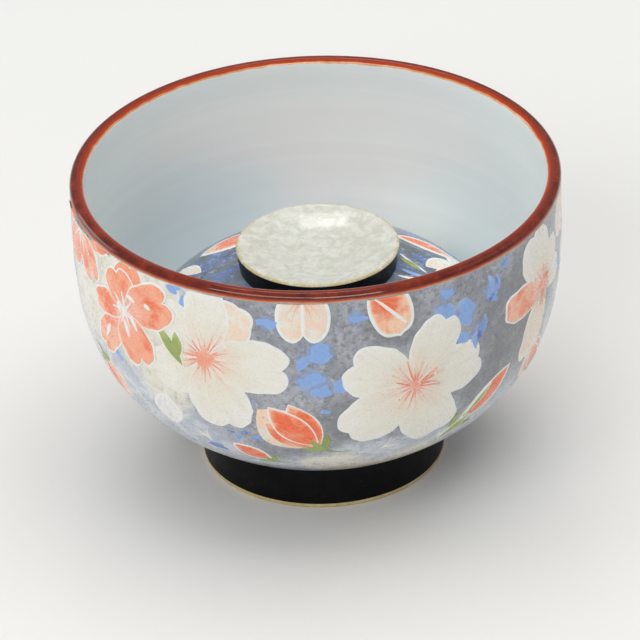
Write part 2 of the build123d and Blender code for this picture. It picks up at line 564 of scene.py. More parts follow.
# Where the bowl's ground is clouded: degrees round the bowl, height and reach in millimetres
CREAM_CLOUDS = (
    (-55, 52, 12), (-43, 54, 7), (-68, 44, 8), (-44, 42, 7), (-40, 34, 5), (2, 18, 5), (14, 14, 5),
    (28, 16, 5), (112, 30, 12), (-140, 50, 12),
)
LAVENDER_CLOUDS = (
    (-60, 30, 12), (-46, 24, 10), (-32, 18, 9), (-31, 54, 4), (-8, 16, 6), (12, 20, 6), (24, 19, 7),
    (48, 20, 8), (80, 26, 12), (170, 44, 13), (-118, 24, 13),
)
BLUE_CLOUDS = (
    (-0.4, 47, 2.1), (-2.2, 41, 2.5), (-0.2, 39, 1.2), (4, 40, 1.2), (30, 55, 1.2), (29, 51, 1.8),
    (35, 50, 2.1), (35, 44, 1.2), (-12, 53, 1.3), (8, 54, 1.1), (43, 52, 1.6), (39, 45, 1.4),
)
DARK_CLOUDS = ((50, 44, 8), (43, 33, 6), (58, 52, 6), (17, 52, 5), (60, 36, 6), (6, 32, 5))


def ground_glaze(name, blueness, clouded):
    """Silver-grey granular ground with blue mottling, and pale clouds where it is clouded."""
    deep, light, streak = ("8C8F97", "AAADB5", "B4B8C4") if clouded else ("4A5763", "6E7A86", "95A1AF")
    g = Glaze(name, deep, 0.32, coat=0.5, coat_roughness=0.08)
    drift = g.noise(0.1, 4, 0.6, 0.9)
    grain = g.noise(1.0, 5, 0.75)
    specks = g.noise(0.6, 5, 0.75, 0.3)
    upright = g.node("VectorMath", {0: g.mm, 1: (1.0, 1.0, 0.7)}, operation="MULTIPLY").outputs["Vector"]
    streaks = g.noise(0.3, 3, 0.62, 0.8, upright)
    g.lay(g.span(drift, 0.36, 0.64), light)
    g.lay(g.span(streaks, 0.5, 0.7, 0.0, 0.55), streak)
    patches = g.span(g.noise(0.13, 4, 0.62, 1.3), 0.6 - 0.16 * blueness, 0.68 - 0.12 * blueness)
    blue = g.times(patches, g.span(specks, 0.38, 0.56))
    g.lay(g.times(blue, 0.5 + 0.35 * blueness), "5578C6")
    g.lay(g.span(grain, 0.44, 0.66, 0.0, 0.75), "666871")
    g.lay(g.span(specks, 0.54, 0.68, 0.0, 0.55), "C9CBD0")
    if clouded:
        ragged = g.math("SUBTRACT", g.noise(0.14, 5, 0.65, 1.0), 0.5)
        brushed = g.noise(0.25, 4, 0.65, 1.2)
        thin = g.span(g.noise(0.5, 4, 0.7, 0.5), 0.34, 0.5, 0.45, 0.94)
        pale = g.mix(g.span(brushed, 0.42, 0.62), colour("B4BCC9"), colour("D3D8DF"))
        cream = g.mix(g.span(brushed, 0.4, 0.62), colour("DFDACA"), colour("EAE7DC"))
        clouds = (
            (DARK_CLOUDS, "6E6F72", g.times(thin, 0.6)),
            (LAVENDER_CLOUDS, pale, thin),
            (CREAM_CLOUDS, cream, thin),
            (BLUE_CLOUDS, "7E9ED8", g.times(thin, 0.65)),
        )
        for places, tint, amount in clouds:
            for around, height, reach in places:
                g.lay(g.times(g.near(around, height, reach, ragged), amount), tint)
    return g.finish(g.span(grain, 0.3, 0.7, 0.24, 0.4), [(drift, 0.1), (specks, 0.03), (grain, 0.012)])


def white_glaze():
    """Clear glaze over white porcelain, with faint throwing rings, and painted light that makes it lighter
    higher up.
    """
    g = Glaze("white_glaze", "DFEBEC", 0.22, coat=0.3, coat_roughness=0.12)
    _, height = g.place()
    rings = g.noise(1.0, 3, 0.6, 0.0, g.combine(g.noise(0.02, 2, 0.5), 0.0, g.times(height, 0.4)))
    pool = g.noise(0.03, 2, 0.5, 0.3)
    # Painted light: the glaze is painted lighter and bluer higher up the inside
    g.lay(g.span(height, 24, 50), "EBF3F1")
    g.lay(g.span(pool, 0.35, 0.7, 0.0, 0.5), "EDF2F2")
    g.lay(g.span(rings, 0.35, 0.65, 0.1, 0.0), "C9D3D3")
    return g.finish(g.span(pool, 0.3, 0.7, 0.2, 0.27), [(rings, 0.015), (g.noise(0.16, 2, 0.5), 0.02)])


def brown_glaze(name, foot, top, white_inside):
    """Iron-brown glaze of a band between two heights, breaking to orange where it thins."""
    g = Glaze(name, "5A1A0D", 0.24, coat=0.75, coat_roughness=0.07, specular=0.06)
    radius, height = g.place()
    flow = g.noise(0.3, 4, 0.6, 0.5)
    g.lay(g.span(flow, 0.35, 0.68), "7E2912")
    g.lay(g.span(g.noise(1.6, 3, 0.6), 0.45, 0.7, 0, 0.4), "38100A")
    uneven = g.times(g.math("SUBTRACT", flow, 0.5), 0.5)
    level = g.math("ADD", height, uneven)
    for start, end, tint in ((0.8, 0.45, "B04420"), (0.5, 0.2, "D07A4A"), (0.25, 0.05, "B4A79C")):
        g.lay(g.span(level, foot + start, foot + end), tint)
    if white_inside:
        reach = g.math("ADD", radius, uneven)
        for start, end, tint in ((1.7, 0.8, "86280E"), (0.8, 0.4, "A8380F")):
            g.lay(g.span(reach, HOLLOW_RADIUS + start, HOLLOW_RADIUS + end), tint)
        inside = g.span(radius, HOLLOW_RADIUS + 1.0, HOLLOW_RADIUS + 0.8)
        for start, end, tint in ((0.32, 0.55, "E09A66"), (0.65, 0.85, "E4ECEB")):
            g.lay(g.times(inside, g.span(level, top - start, top - end)), tint)
    else:
        g.lay(g.span(level, top - 0.4, top - 0.15), "C4562A")
    return g.finish(g.span(flow, 0.3, 0.7, 0.18, 0.28), [(flow, 0.05)])


def black_glaze():
    """Satin black glaze with a few light grey specks and a worn sheen."""
    g = Glaze("black_glaze", "030304", 0.36, coat=0.04, coat_roughness=0.14, specular=0.09)
    flow = g.noise(0.2, 4, 0.6, 0.4)
    g.lay(g.span(flow, 0.35, 0.7), "0A0B0C")
    # Small light grey specks over the black
    g.lay(g.span(g.noise(2.2, 2, 0.6), 0.64, 0.78, 0, 0.4), "3C3C3E")
    return g.finish(g.span(flow, 0.3, 0.7, 0.3, 0.46), [(flow, 0.06), (g.noise(1.4, 3, 0.6), 0.025)])


def bare_clay():
    """Rubbed unglazed clay, stained warm."""
    g = Glaze("bare_clay", "BFA877", 0.75, specular=0.3)
    g.lay(g.span(g.noise(0.25, 4, 0.6, 0.4), 0.35, 0.7), "D3C08F")
    g.lay(g.span(g.noise(3.0, 3, 0.7), 0.5, 0.72, 0, 0.6), "8A7345")
    return g.finish(None, [(g.noise(3.5, 4, 0.7), 0.03)])


def pearl_glaze():
    """Crinkled pearly cream glaze, ochre at its thin lip."""
    g = Glaze("pearl_glaze", "C1C1B5", 0.2, coat=0.7, coat_roughness=0.08)
    radius, _ = g.place()
    fold = g.noise(0.42, 4, 0.62, 0.9)
    fine = g.noise(1.0, 4, 0.65, 0.6)
    g.lay(g.span(fold, 0.34, 0.66), "D4D4CB")
    g.lay(g.span(fine, 0.48, 0.68, 0.0, 0.42), "BAB69E")
    g.lay(g.span(g.noise(2.2, 3, 0.7), 0.6, 0.72, 0.0, 0.4), "B3A77F")
    lip = g.span(radius, KNOB_TOP_RADIUS - 0.9, KNOB_TOP_RADIUS - 0.15)
    g.lay(g.times(lip, g.span(fine, 0.4, 0.56, 0.15, 0.8)), "C2A96C")
    return g.finish(g.span(fine, 0.3, 0.7, 0.14, 0.28), [(fold, 0.35), (fine, 0.08)])


def enamel(name, main, pale, toned, streak, glow=None, blush=0.0, tip=1.0):
    """Opaque overglaze enamel brushed out from the heart: paler at the tips, blushing near the heart."""
    g = Glaze(name, main, 0.3, coat=0.35, coat_roughness=0.1)
    heart, edge, tone, angle = g.paint()
    wash = g.noise(0.3, 3, 0.6, 0.6)
    grain = g.noise(2.4, 3, 0.65)
    fan = g.combine(g.times(angle, 12.0), g.times(heart, 1.4), g.times(tone, 9.0))
    brushed = g.noise(1.0, 3, 0.6, 0.2, fan)
    shade = g.math("ADD", g.span(heart, 0.3, tip, 0.0, 0.7), g.span(wash, 0.35, 0.7, -0.2, 0.35))
    shade = g.math("ADD", shade, g.span(edge, 0.82, 1.0, 0.0, 0.4))
    g.lay(g.span(shade, 0.0, 1.0), pale)
    g.lay(g.times(g.span(tone, 0.5, 1.0), g.span(wash, 0.36, 0.6)), toned)
    g.lay(g.span(brushed, 0.5, 0.68, 0.0, 0.5), streak)
    if glow:
        near = g.times(g.span(heart, 0.6, 0.12), g.span(brushed, 0.38, 0.62, 0.4, 1.0))
        g.lay(g.times(near, blush), glow)
    g.lay(g.span(grain, 0.3, 0.75, 0.05, 0.0), "8F8A80")
    return g.finish(g.span(grain, 0.3, 0.7, 0.24, 0.38), [(wash, 0.03), (brushed, 0.012), (grain, 0.01)])


def outline_enamel():
    """White outlines, which melt into the petals towards the heart."""
    g = Glaze("outline_white", "E9E6DB", 0.3, coat=0.35, coat_roughness=0.1)
    wash = g.noise(0.5, 3, 0.6, 0.5)
    g.lay(g.span(g.paint()[0], 0.5, 0.8), "EBEDEC")
    g.lay(g.span(wash, 0.5, 0.72, 0.0, 0.35), "D9DADA")
    return g.finish(g.span(wash, 0.3, 0.7, 0.26, 0.36), [(wash, 0.02)])


GROUND = ground_glaze("painted_ground", 0.0, True)
LID_GROUND = ground_glaze("painted_lid_ground", 0.85, False)
WHITE = white_glaze()
BROWN = brown_glaze("brown_glaze", BAND_BASE, BOWL_TOP, True)
LID_BROWN = brown_glaze("lid_brown_glaze", LID_BASE, LID_SHOULDER, False)
BLACK = black_glaze()
CLAY = bare_clay()
PEARL = pearl_glaze()
PETAL_WHITE = enamel("petal_white", "E8E4D6", "EDEBE3", "F4CFB4", "DFDACC", glow="F3B896", blush=0.45)
OUTLINE_WHITE = outline_enamel()
LINE_WHITE = enamel("line_white", "EFEDE8", "F1F0EC", "DCDDE8", "E8E6E0")
CORAL = enamel("coral", "F0652F", "F69468", "F8C0A4", "F8AC86", glow="F9D8C8", blush=0.7)
WARM_CORAL = enamel("warm_coral", "F2652E", "FAD2B2", "F7B08C", "F6A27C")
STAMEN = enamel("stamen_coral", "F19A7C", "F0D3C2", "EE8A6C", "F3B098", tip=0.75)
LEAF = enamel("leaf_green", "8FA24E", "ADBA6C", "6B843C", "BEC68C")
BLUE = enamel("dab_blue", "86ACE4", "9CBBEA", "2F4FA8", "7B9BD0")

# The painted enamels' pieces, in the order of the painter's inks: name, material and slot
ENAMELS = (
    ("petal_edges", OUTLINE_WHITE, "white_enamel"),
    ("white_petals", PETAL_WHITE, "white_enamel"),
    ("coral_petals", CORAL, "coral_enamel"),
    ("warm_coral_petals", WARM_CORAL, "coral_enamel"),
    ("coral_stamens", STAMEN, "coral_enamel"),
    ("white_lines", LINE_WHITE, "white_enamel"),
    ("green_leaves", LEAF, "leaf_enamel"),
    ("blue_dabs", BLUE, "blue_enamel"),
)


# ---- pieces of the bowl and the lid


def turned_parts():
    """The glazed zones of the bowl and the lid, each in place of its CAD node."""
    bowl_mats = {"ground": GROUND, "white": WHITE}
    lid_mats = {"ground": LID_GROUND, "white": WHITE}
    lip_mats = {"brown": BROWN, "white": WHITE}
    knob_mats = {"black": BLACK, "pearl": PEARL}
    lid_lip = [("brown", lid_lip_section())]
    plan = (
        ("bowl_body", bowl_sections(), bowl_mats, "bowl_wall", "bowl", "painted_glaze"),
        ("bowl_lip", lip_sections(), lip_mats, "bowl_rim_band", "bowl", "brown_glaze"),
        ("foot_ring", [("black", foot_section())], {"black": BLACK}, "bowl_foot_ring", "bowl", "black_glaze"),
        ("foot_edge", [("clay", edge_section())], {"clay": CLAY}, "bowl_foot_edge", "bowl", "bare_clay"),
        ("lid_body", lid_sections(), lid_mats, "lid_dome", "lid", "painted_glaze"),
        ("lid_lip", lid_lip, {"brown": LID_BROWN}, "lid_rim_band", "lid", "brown_glaze"),
        ("knob_ring", knob_sections(), knob_mats, "lid_knob_ring", "lid", "black_glaze"),
        ("knob_dish", [("pearl", dish_section())], {"pearl": PEARL}, "lid_knob_well", "lid", "pearl_glaze"),
    )
    for name, zones, materials, node, body, slot in plan:
        piece = turned_piece(name, zones, materials)
        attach(piece, body)
        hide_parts(node)


# ---- drawings of the flowers


def bezier(start, pull_a, pull_b, end, steps):
    """Points of a cubic curve, without its last."""
    t = np.linspace(0, 1, steps, endpoint=False)[:, None]
    a, b, c, d = (np.array(p, dtype=float) for p in (start, pull_a, pull_b, end))
    return (1 - t) ** 3 * a + 3 * (1 - t) ** 2 * t * b + 3 * (1 - t) * t**2 * c + t**3 * d


def turned_points(points, turn):
    """Points turned anticlockwise about the origin by degrees."""
    a = radians(turn)
    return np.asarray(points) @ np.array([[cos(a), sin(a)], [-sin(a), cos(a)]])


def unsteady(points, phases, amount=0.13):
    """Points moved by small smooth waves, as a hand draws them."""
    points = np.asarray(points, dtype=float)
    x, y = points.T
    a, b, c, d = phases
    dx = np.sin(0.9 * y + a) + 0.6 * np.sin(2.0 * y + 1.2 * x + b)
    dy = np.sin(0.8 * x + c) + 0.6 * np.sin(1.8 * x + 1.1 * y + d)
    return points + amount * np.column_stack((dx, dy))


def petal(length, width, notch, grow=0.0):
    """Outline of a cherry petal along +Y with its base at the origin, optionally grown all round."""
    half = width / 2 + grow
    top = length + grow
    wide = length * 0.60
    base = (width * 0.05 + grow, -grow * 0.6)
    crest = (half * 0.42, top)
    side = bezier(base, (half * 0.5, length * 0.10), (half, length * 0.30), (half, wide), 14)
    lobe = bezier((half, wide), (half, length * 0.82), (half * 0.82, top * 0.96), crest, 12)
    dip = bezier(crest, (half * 0.24, top * 1.01), (half * 0.09, top - notch * 0.45), (0, top - notch), 8)
    right = np.vstack((side, lobe, dip))
    left = right[::-1] * (-1, 1)
    return np.vstack((right, [(0, top - notch)], left))


def lens(length, width, grow=0.0):
    """Outline of a pointed leaf along +Y with its base at the origin."""
    t = np.linspace(0, 1, 13)
    half = (width / 2) * np.sin(np.pi * t) ** 0.9 + grow * (0.35 + 0.65 * np.sin(np.pi * t))
    y = t * (length + 2 * grow) - grow
    right = np.column_stack((half, y))
    left = right[::-1] * (-1, 1)
    return np.vstack((right, left[1:-1]))


def four_phases(rng):
    """Random phases for the waves of a hand-drawn outline."""
    return [rng.uniform(0, 2 * pi) for _ in range(4)]


def blob(rng, radius, stretch=1.0, count=30):
    """Outline of a soft brush dab."""
    waves = list(enumerate(four_phases(rng), start=1))
    points = []
    for i in range(count):
        a = 2 * pi * i / count
        r = radius * (1 + sum(BLOB_WAVE / k * cos((k + 1) * a + p) for k, p in waves))
        points.append((r * cos(a), r * sin(a) * stretch))
    return np.array(points)


# Millimetres over the glaze: where shapes start, how far each petal lies over the one before, how deep a
# blossom is, how far a filling lies over its outline, and how far outlines, fillings and lines rise
BASE_LAYER = 0.02
PETAL_STEP = 0.024
BLOSSOM_DEPTH = 0.18
FILLING_STEP = 0.014
OUTLINE_RISE = 0.008
FILLING_RISE = 0.012
LINE_RISE = 0.015
# Other millimetres: a blossom's outline, a loose petal's, a curl's width, and the waves of a dab's edge
OUTLINE = 0.34
LOOSE_OUTLINE = 0.6
CURL_WIDTH = 1.7
BLOB_WAVE = 0.26
HAIRLINE_COUNT = 5


class Painter:
    """Paints flowers, buds, petals, leaves and dabs on one surface.

    Coral blossoms and leaves start at a height `over` the glaze, so that they can overlap other blossoms.
    """

    def __init__(self, surface, seed, over):
        self.surface = surface
        self.rng = random.Random(seed)
        self.over = over
        self.inks = [Enamel() for _ in ENAMELS]
        self.edges, self.petals, self.coral, self.warm = self.inks[:4]
        self.stamens, self.whites, self.leaves, self.dabs = self.inks[4:]
        # How each tint is painted: its enamel and its tone
        self.tints = {
            "white": (self.petals, 0.3),
            "peach": (self.petals, 0.84),
            "faded": (self.petals, 0.5),
            "coral": (self.coral, 0.8),
            "pale coral": (self.coral, 0.95),
            "soft coral": (self.coral, 0.9),
            "deep coral": (self.warm, 0.3),
        }

    def spot(self, around, along, turn=0.0):
        return Spot(self.surface, around, along, turn)

    def towards(self, start, end):
        """A spot at one place of the lid whose drawing points to another, and the distance between them."""
        angle = radians(start[0])
        far = radians(end[0])
        dx = end[1] * sin(far) - start[1] * sin(angle)
        dy = start[1] * cos(angle) - end[1] * cos(far)
        x = dx * cos(angle) + dy * sin(angle)
        y = dy * cos(angle) - dx * sin(angle)
        return self.spot(*start, turn=degrees(atan2(-x, y))), hypot(x, y)

    def slim_petal(self, spot, length, width, tint, border=0.35):
        """A pointed petal without a middle line."""
        fill, tone = self.tints[tint]
        self.edges.patch(spot, lens(length, width, border), BASE_LAYER, 0.01, length * 0.5, tone)
        fill.patch(spot, lens(length, width), BASE_LAYER * 2, FILLING_RISE, length, tone)

    def bowed_line(self, spot, length, width, ink, tone):
        """A slightly bowed brush line."""
        path = [(0.3 * sin(pi * t), length * t) for t in np.linspace(0, 1, 8)]
        widths = width * np.array([0.5, 0.8, 1.0, 1.0, 1.0, 0.9, 0.7, 0.3])
        ink.stroke(spot, path, widths, BASE_LAYER, LINE_RISE, tone)

    def blade(self, spot, length, width):
        """A slim leaf without an outline."""
        self.leaves.patch(spot, lens(length, width), 0.03, LINE_RISE, length, 0.3)

    def blossom(self, spot, petals, base=0.0):
        """Petals round a heart, each a little over the one before. A faded petal has no outline."""
        rng = self.rng
        for k, (direction, length, width, notch, tint) in enumerate(petals):
            fill, tone = self.tints[tint]
            phases = four_phases(rng)
            layer = base + BASE_LAYER + PETAL_STEP * k
            tone += rng.uniform(-0.15, 0.05)
            turn = direction - 90
            if tint != "faded":
                grown = turned_points(unsteady(petal(length, width, notch * 0.9, OUTLINE), phases), turn)
                self.edges.patch(spot, grown, layer, OUTLINE_RISE, length, tone)
            filled = turned_points(unsteady(petal(length, width, notch), phases), turn)
            fill.patch(spot, filled, layer + FILLING_STEP, FILLING_RISE, length, tone)

    def five_petals(self, size, tint):
        """Five uneven petals, as (direction, length, width, notch, tint)."""
        vary = self.rng.uniform
        broad, cut = (0.66, 0.16) if tint == "coral" else (0.76, 0.10)
        petals = []
        for k in range(5):
            direction = 72 * k + vary(-5, 5)
            length, width = size * vary(0.93, 1.05), size * broad * vary(0.92, 1.08)
            petals.append((direction, length, width, size * cut * vary(0.6, 1.3), tint))
        return petals

    def star(self, spot, radius, ink, layer):
        """The small star at a flower's heart."""
        angles = np.linspace(0, 2 * pi, 30, endpoint=False)
        reach = radius * (1 + 0.24 * np.cos(5 * angles + self.rng.uniform(0, 6)))
        outline = np.column_stack((reach * np.cos(angles), reach * np.sin(angles)))
        ink.patch(spot, outline, layer, 0.02, radius * 2, 0.4)

    def rays(self, spot, start, reach, count, ink, layer, width, dots):
        """Fine stamens out from the heart, with dots at some of their ends."""
        rng = self.rng
        for k in range(count):
            direction = 360 * (k + rng.uniform(-0.3, 0.3)) / count
            end = reach * rng.uniform(0.6, 1.0)
            bend = rng.uniform(-0.3, 0.3)
            path = [(bend * t * (1 - t) * 2, start + (end - start) * t) for t in np.linspace(0, 1, 6)]
            widths = np.array([1.0, 1.0, 0.9, 0.75, 0.55, 0.3]) * width * rng.uniform(0.8, 1.2)
            ink.stroke(spot, turned_points(path, direction), widths, layer, LINE_RISE, rng.random())
            if rng.random() < dots:
                dot = blob(rng, 0.2, count=10) + turned_points([path[-1]], direction)[0]
                ink.patch(spot, dot, layer + 0.005, 0.02, reach, rng.random())

    def white_heart(self, spot, radius, reach):
        """A coral star with coral and white stamens."""
        self.rays(spot, radius * 0.6, reach * 1.1, 14, self.whites, BLOSSOM_DEPTH, 0.3, 0.3)
        self.rays(spot, radius * 0.6, reach, 20, self.stamens, BLOSSOM_DEPTH + 0.01, 0.36, 0.2)
        self.star(spot, radius, self.stamens, BLOSSOM_DEPTH + 0.02)

    def coral_heart(self, spot, radius, reach, count=12, width=0.42):
        """White stamens and a white star on a coral flower."""
        layer = self.over + BLOSSOM_DEPTH
        self.rays(spot, radius * 0.4, reach, count, self.whites, layer, width, 0.3)
        self.star(spot, radius, self.whites, layer + 0.01)

    def white_blossom(self, spot, size):
        self.blossom(spot, self.five_petals(size, "white"))
        self.white_heart(spot, size * self.rng.uniform(0.07, 0.12), size * 0.42)

    def coral_blossom(self, spot, size):
        self.blossom(spot, self.five_petals(size, "coral"), self.over)
        self.coral_heart(spot, size * 0.09, size * 0.55)

    def loose_petal(self, spot, length, width, tint):
        """A two-lobed petal with a broad white border and a middle line, and with veins if it is peach."""
        fill, tone = self.tints[tint]
        rng = self.rng
        veined = tint == "peach"
        notch = length * (0.15 if veined else -0.06)
        grown = petal(length, width, notch * 0.9, LOOSE_OUTLINE)
        self.edges.patch(spot, grown, BASE_LAYER, 0.01, length * 0.5, tone)
        fill.patch(spot, petal(length, width, notch), BASE_LAYER * 2, FILLING_RISE, length * 0.85, tone)
        drift = 0.0 if veined else -4.5
        path = [(drift * (t - 0.6), length * (0.2 + 0.72 * t)) for t in np.linspace(0, 1, 7)]
        self.whites.stroke(spot, path, [0.3, 0.45, 0.6, 0.7, 0.75, 0.75, 0.5], 0.06, 0.012)
        for share in (-0.75, -0.5, -0.28, 0.28, 0.5, 0.75) if veined else ():
            start, end = length * 0.2, length * rng.uniform(0.55, 0.8)
            path = [(width * 0.5 * share * t, start + (end - start) * t) for t in np.linspace(0.2, 1, 5)]
            self.stamens.stroke(spot, path, [0.12, 0.15, 0.14, 0.1, 0.06], 0.052, 0.004, 0.2)

    def bud(self, spot, size, open_):
        """A bud of coral petals in white outlines, on green sepals. Its base is at the spot."""
        rng = self.rng
        blown = open_ > 0.3
        leaves = ((-1, 0.84), (1, 0.9), (0, 1.0)) if blown else ((0, 1.0),)
        width = size * (0.42 if blown else 0.21 + 1.1 * open_)
        reach = size * (1.5 if blown else 2.2)
        if blown:
            backing = turned_points(lens(size * 1.08, width * 1.85, 0.2), 6) + (-size * 0.04, size * 0.12)
            self.petals.patch(spot, backing, 0.012, 0.006, size * 1.3, 0.95)
        for k, (side, share) in enumerate(leaves):
            lean = -side * 17 * open_
            layer = BASE_LAYER + 0.03 * k
            lower = np.array([side * size * 0.05 * open_, size * 0.14])
            rim = 0.5 if not blown else 0.22 if side else 0.3
            grown = turned_points(lens(size * share, width, rim), lean) + lower
            self.edges.patch(spot, grown, layer, OUTLINE_RISE, size * 0.5)
            filled = turned_points(lens(size * share, width), lean) + lower
            tone = 0.1 + 0.75 * (side == -1)
            self.warm.patch(spot, filled, layer + FILLING_STEP, FILLING_RISE, reach, tone)
        for lean in (-46, 0, 42):
            long = size * rng.uniform(0.3, 0.4)
            leaf = turned_points(lens(long, long * 0.3), lean)
            self.leaves.patch(spot, leaf, 0.12 + abs(lean) * 0.0003, LINE_RISE, size, rng.random() * 0.8)
        stalk = [(0.2 * size * t * t, -size * 0.3 * t) for t in np.linspace(0, 1, 6)]
        self.leaves.stroke(spot, stalk, [0.8, 0.65, 0.5, 0.4, 0.3, 0.15], 0.04, 0.02, tone=0.7)

    def ghost_bud(self, spot, size):
        """A closed bud in soft lavender white, drawn over with white line."""
        self.whites.patch(spot, lens(size, size * 0.72), 0.012, 0.006, size, 1.0)
        for side in (-1, 1):
            for swell, width in ((0.36, 0.8), (0.13, 0.5)):
                path = [(side * size * swell * sin(pi * t), size * t) for t in np.linspace(0.02, 0.98, 12)]
                self.whites.stroke(spot, path, [width * 0.6] + [width] * 10 + [width * 0.6], BASE_LAYER, 0.01)

    def leaf(self, spot, length, share=0.3):
        """An outlined leaf, whose width is a share of its length."""
        width = length * share
        self.edges.patch(spot, lens(length, width, 0.3), self.over + BASE_LAYER, 0.01, length)
        tone = self.rng.random() * 0.7
        self.leaves.patch(spot, lens(length, width), self.over + BASE_LAYER * 2, LINE_RISE, length, tone)

    def dab(self, spot, size, stretch, tone):
        """A few overlapping touches of a blue brush."""
        rng = self.rng
        self.dabs.patch(spot, blob(rng, size, stretch), 0.012, LINE_RISE, size * 2, tone)
        for k in (1, 2):
            shift = np.array([rng.uniform(-0.7, 0.7) * size, rng.uniform(-0.6, 0.6) * size * stretch])
            touch = blob(rng, size * rng.uniform(0.35, 0.6), stretch) + shift
            self.dabs.patch(spot, touch, 0.012 + 0.006 * k, LINE_RISE, size * 2, tone * rng.uniform(0.5, 1.3))

    def curl(self, spot, length, bend, tone):
        """A hooked blue brush stroke."""
        path = [(bend * sin(pi * t * 0.8), length * (t - 0.5)) for t in np.linspace(0, 1, 9)]
        widths = CURL_WIDTH * np.array([0.3, 0.7, 1.0, 1.0, 0.95, 0.85, 0.7, 0.5, 0.25])
        self.dabs.stroke(spot, path, widths, 0.03, 0.03, tone)

    def touch(self, spot, start, end, width, layer):
        """A short, full touch of white, rounded at both ends."""
        start, end = np.array(start), np.array(end)
        path = [start + (end - start) * t for t in np.linspace(0, 1, 8)]
        widths = width * np.array([0.3, 0.75, 0.95, 1.0, 0.9, 0.75, 0.55, 0.2])
        self.whites.stroke(spot, path, widths, layer, LINE_RISE, 0.2)

    def hairlines(self, spot, reach):
        """Thin white lines fanning out like the veins of grass."""
        rng = self.rng
        for k in range(HAIRLINE_COUNT):
            lean = (k - (HAIRLINE_COUNT - 1) / 2) * 0.28
            end = reach * rng.uniform(0.6, 1.0)
            path = [(lean * end * t * t, end * t) for t in np.linspace(0.1, 1, 7)]
            widths = [0.1, 0.18, 0.22, 0.24, 0.2, 0.16, 0.08]
            self.whites.stroke(spot, path, widths, 0.012, 0.01, rng.random())

    def draw(self, method, rows):
        """Draws rows that start with degrees, millimetres and turn."""
        for around, along, turn, *rest in rows:
            method(self.spot(around, along, turn), *rest)

    def draw_between(self, method, rows):
        """Draws rows that start with two places of the lid, in degrees and millimetres from the crown."""
        for start, end, *rest in rows:
            method(*self.towards(start, end), *rest)

    def pieces(self, body):
        """Makes the pieces of enamel, one for each colour that was used."""
        for shapes, (name, material, slot) in zip(self.inks, ENAMELS):
            if shapes.count:
                shapes.piece(f"{body}_{name}", material, body, slot)


# ---- the painting

# The two white blossoms and the two coral ones at the front, petal by petal:
# direction in degrees, length, width and notch in millimetres, and tint
LEFT_WHITE = (
    (141, 12.5, 10.5, 0.8, "faded"), (213, 13.0, 10.5, 0.8, "faded"), (59, 13.6, 8.6, 0.4, "peach"),
    (87, 14.2, 8.4, 0.5, "white"), (282, 15.4, 11.6, 0.9, "white"), (-2, 15.4, 10.8, 1.5, "white"),
)
RIGHT_WHITE = (
    (6, 13.8, 10.0, 0.7, "white"), (63, 14.2, 8.8, 0.8, "white"), (291, 15.4, 10.6, 0.5, "white"),
    (151, 13.7, 10.8, 0.9, "white"), (219, 15.2, 11.2, 0.5, "white"),
)
LEFT_CORAL = (
    (80, 10.4, 7.4, 0.5, "coral"), (232, 13.8, 6.2, 1.4, "pale coral"), (186, 9.6, 5.2, 0.7, "coral"),
    (104, 8.2, 8.2, 1.0, "coral"), (28, 12.6, 8.8, 1.8, "coral"), (292, 10.6, 8.8, 1.6, "coral"),
)
# White touches on the left coral blossom, from and to, in millimetres from its heart
LEFT_CORAL_TOUCHES = (
    ((-0.2, -1.8), (0.8, -5.2)), ((1.6, -0.2), (3.2, -3.0)), ((0.8, 3.8), (3.0, 3.0)),
    ((5.4, 3.6), (6.8, 3.0)), ((-1.8, 1.4), (-1.2, -0.8)), ((-5.0, -5.0), (-6.8, -8.4)),
)
RIGHT_MIXED = (
    (0, 9.0, 6.0, 0.6, "faded"), (45, 9.0, 5.5, 0.6, "peach"), (252, 14.5, 7.2, 0.6, "peach"),
    (108, 12.5, 10.0, 0.9, "white"), (179, 12.6, 6.2, -0.3, "soft coral"),
)
# The tables from here on start with degrees round the bowl, millimetres along the wall from its foot, and
# turn. Blossoms: size
WHITE_BLOSSOMS = (
    (98, 41, 30, 14.0), (151, 36, 12, 13.5), (-155, 42, 50, 14.5), (-103, 40, 20, 13.5),
)
CORAL_BLOSSOMS = (
    (126, 51, 0, 9.0), (179, 49, 60, 9.5), (-129, 29, 20, 8.8), (-70, 58, 14, 10.5), (120, 24, 45, 8.0),
)
# Buds: length, how open
BUDS = (
    (0.2, 23.8, 41, 13.4, 0.8), (-13.8, 17.4, 50, 8.0, 0.27), (35.2, 22.0, -47, 14.4, 0.1),
    (70, 24, 35, 9.5, 0.8), (134, 22, -35, 8.5, 0.2), (173, 24, 40, 9.5, 0.7), (-167, 21, -50, 8.5, 0.2),
    (-121, 53, 100, 9.0, 0.8), (-92, 22, 40, 8.5, 0.5), (-66, 33, -150, 8.5, 0.8),
)
# Loose petals: length, width, tint
LOOSE_PETALS = (
    (-3.9, 62.3, 180, 12.0, 8.8, "peach"), (13.4, 62.3, 197, 12.4, 7.0, "deep coral"),
    (81, 60, 170, 10.0, 8.0, "peach"), (147, 61.5, 180, 12.0, 9.0, "coral"),
    (-141, 61.5, 170, 11.5, 9.0, "peach"), (-96, 61.5, 200, 9.0, 7.0, "coral"),
)
# Leaves: length, width as a share of it
LEAVES = (
    (-33.4, 41.4, 36, 9.4, 0.24), (-34.2, 43.2, 8, 5.2, 0.4), (32.8, 19.6, -42, 7.6, 0.26),
    (38.6, 25.6, -38, 7.6, 0.13), (116, 37, -70, 6.5, 0.25), (-136, 40, 110, 7.0, 0.25),
    (-84, 33, 60, 6.0, 0.22), (165, 43, -30, 6.0, 0.25),
)
